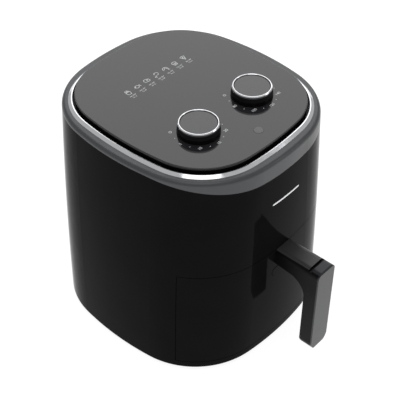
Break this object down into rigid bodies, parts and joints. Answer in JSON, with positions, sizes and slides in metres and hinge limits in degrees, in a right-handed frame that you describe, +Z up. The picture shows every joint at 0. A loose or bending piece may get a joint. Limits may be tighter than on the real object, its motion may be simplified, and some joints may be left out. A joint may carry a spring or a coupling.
{
  "type": "air fryer",
  "caption": "Drawer-type air fryer: glossy black barrel body, satin bezel, bright ring, grey panel with two knobs and a front drawer with an L-shaped handle.",
  "frame": {"origin": "on the standing surface, under the middle of the bounding box (body and handle together)", "axes": "+Z up, front with the drawer handle towards -Y, +X to the right seen from the front"},
  "size_m": [0.2846, 0.3552, 0.3137],
  "materials": {
    "body_gloss": "black ABS moulded and polished to a high gloss",
    "bezel_satin": "ABS with a satin gunmetal paint",
    "chrome_trim": "ABS plated with bright chromium",
    "panel_gloss": "grey polycarbonate panel, gloss clear coat",
    "black_satin": "black ABS, fine spark-eroded grain",
    "cap_grey": "satin grey paint on ABS",
    "lens_grey": "translucent grey polycarbonate",
    "cover_dark": "dark grey satin ABS",
    "plate_metallic": "dark metallic paint over a pressed aluminium plate",
    "liner_steel": "aluminised steel sheet",
    "pan_coating": "pressed steel with a dark non-stick coating",
    "element_steel": "heat-darkened stainless sheath",
    "fan_aluminium": "pressed aluminium",
    "core_steel": "stacked electrical steel laminations",
    "coil_copper": "enamelled copper winding under tape",
    "zinc_steel": "zinc-plated steel sheet and screws",
    "rubber_black": "moulded rubber",
    "silicone_grey": "food-safe silicone",
    "thermoset_white": "thermoset and nylon mouldings",
    "lamp_amber": "amber lamp body"
  },
  "bodies": {
    "root": {"outer_shell": "body_gloss", "top_bezel": "bezel_satin", "chrome_ring": "chrome_trim", "panel_plinth": "black_satin", "control_panel": "panel_gloss", "indicator_lens": "lens_grey", "indicator_lamp": "lamp_amber", "timer_case": "thermoset_white", "thermostat_case": "zinc_steel", "timer_bell": "zinc_steel", "thermostat_bulb": "coil_copper", "base_tray": "black_satin", "feet": "rubber_black", "base_screws": "zinc_steel", "plinth_screws": "zinc_steel", "control_screws": "zinc_steel", "motor_screws": "zinc_steel", "inner_liner": "liner_steel", "drawer_rails": "zinc_steel", "heat_reflector": "liner_steel", "heating_element": "element_steel", "heater_brackets": "zinc_steel", "heater_guard": "zinc_steel", "motor_core": "core_steel", "motor_coil": "coil_copper", "motor_bracket": "zinc_steel", "motor_bridge": "zinc_steel", "exhaust_duct": "liner_steel", "rear_grille": "black_satin", "cord_inlet": "rubber_black", "terminal_block": "thermoset_white", "thermal_fuse": "thermoset_white", "microswitch": "black_satin"},
    "drawer": {"drawer_front": "body_gloss", "drawer_frame": "black_satin", "pan": "pan_coating", "handle_body": "black_satin", "handle_top_cover": "cover_dark", "handle_faceplate": "plate_metallic", "handle_screw_cap": "body_gloss", "handle_screws": "zinc_steel", "frame_screws": "zinc_steel"},
    "crisper": {"crisper_plate": "pan_coating", "plate_bumpers": "silicone_grey"},
    "timer_knob": {"timer_knob_body": "black_satin", "timer_knob_ring": "chrome_trim", "timer_knob_cap": "cap_grey", "timer_shaft": "zinc_steel"},
    "temperature_knob": {"temperature_knob_body": "black_satin", "temperature_knob_ring": "chrome_trim", "temperature_knob_cap": "cap_grey", "thermostat_shaft": "zinc_steel"},
    "rotor": {"motor_shaft": "core_steel", "circulation_fan": "fan_aluminium", "cooling_fan": "fan_aluminium"}
  },
  "joints": [
    {"name": "drawer_slide", "type": "slide", "parent": "root", "child": "drawer", "axis": [0, -1, 0], "range_m": [0, 0.24]},
    {"name": "crisper_lift", "type": "slide", "parent": "drawer", "child": "crisper", "axis": [0, 0, 1], "range_m": [0, 0.11]},
    {"name": "timer_turn", "type": "hinge", "parent": "root", "child": "timer_knob", "pos_m": [-0.045, -0.0227, 0.3005], "axis": [0, 0, 1], "range_deg": [-300, 0]},
    {"name": "temperature_turn", "type": "hinge", "parent": "root", "child": "temperature_knob", "pos_m": [0.045, -0.0227, 0.3005], "axis": [0, 0, 1], "range_deg": [-270, 0]},
    {"name": "fan_spin", "type": "hinge", "parent": "root", "child": "rotor", "pos_m": [0, 0.0363, 0.218], "axis": [0, 0, 1], "continuous": true}
  ]
}
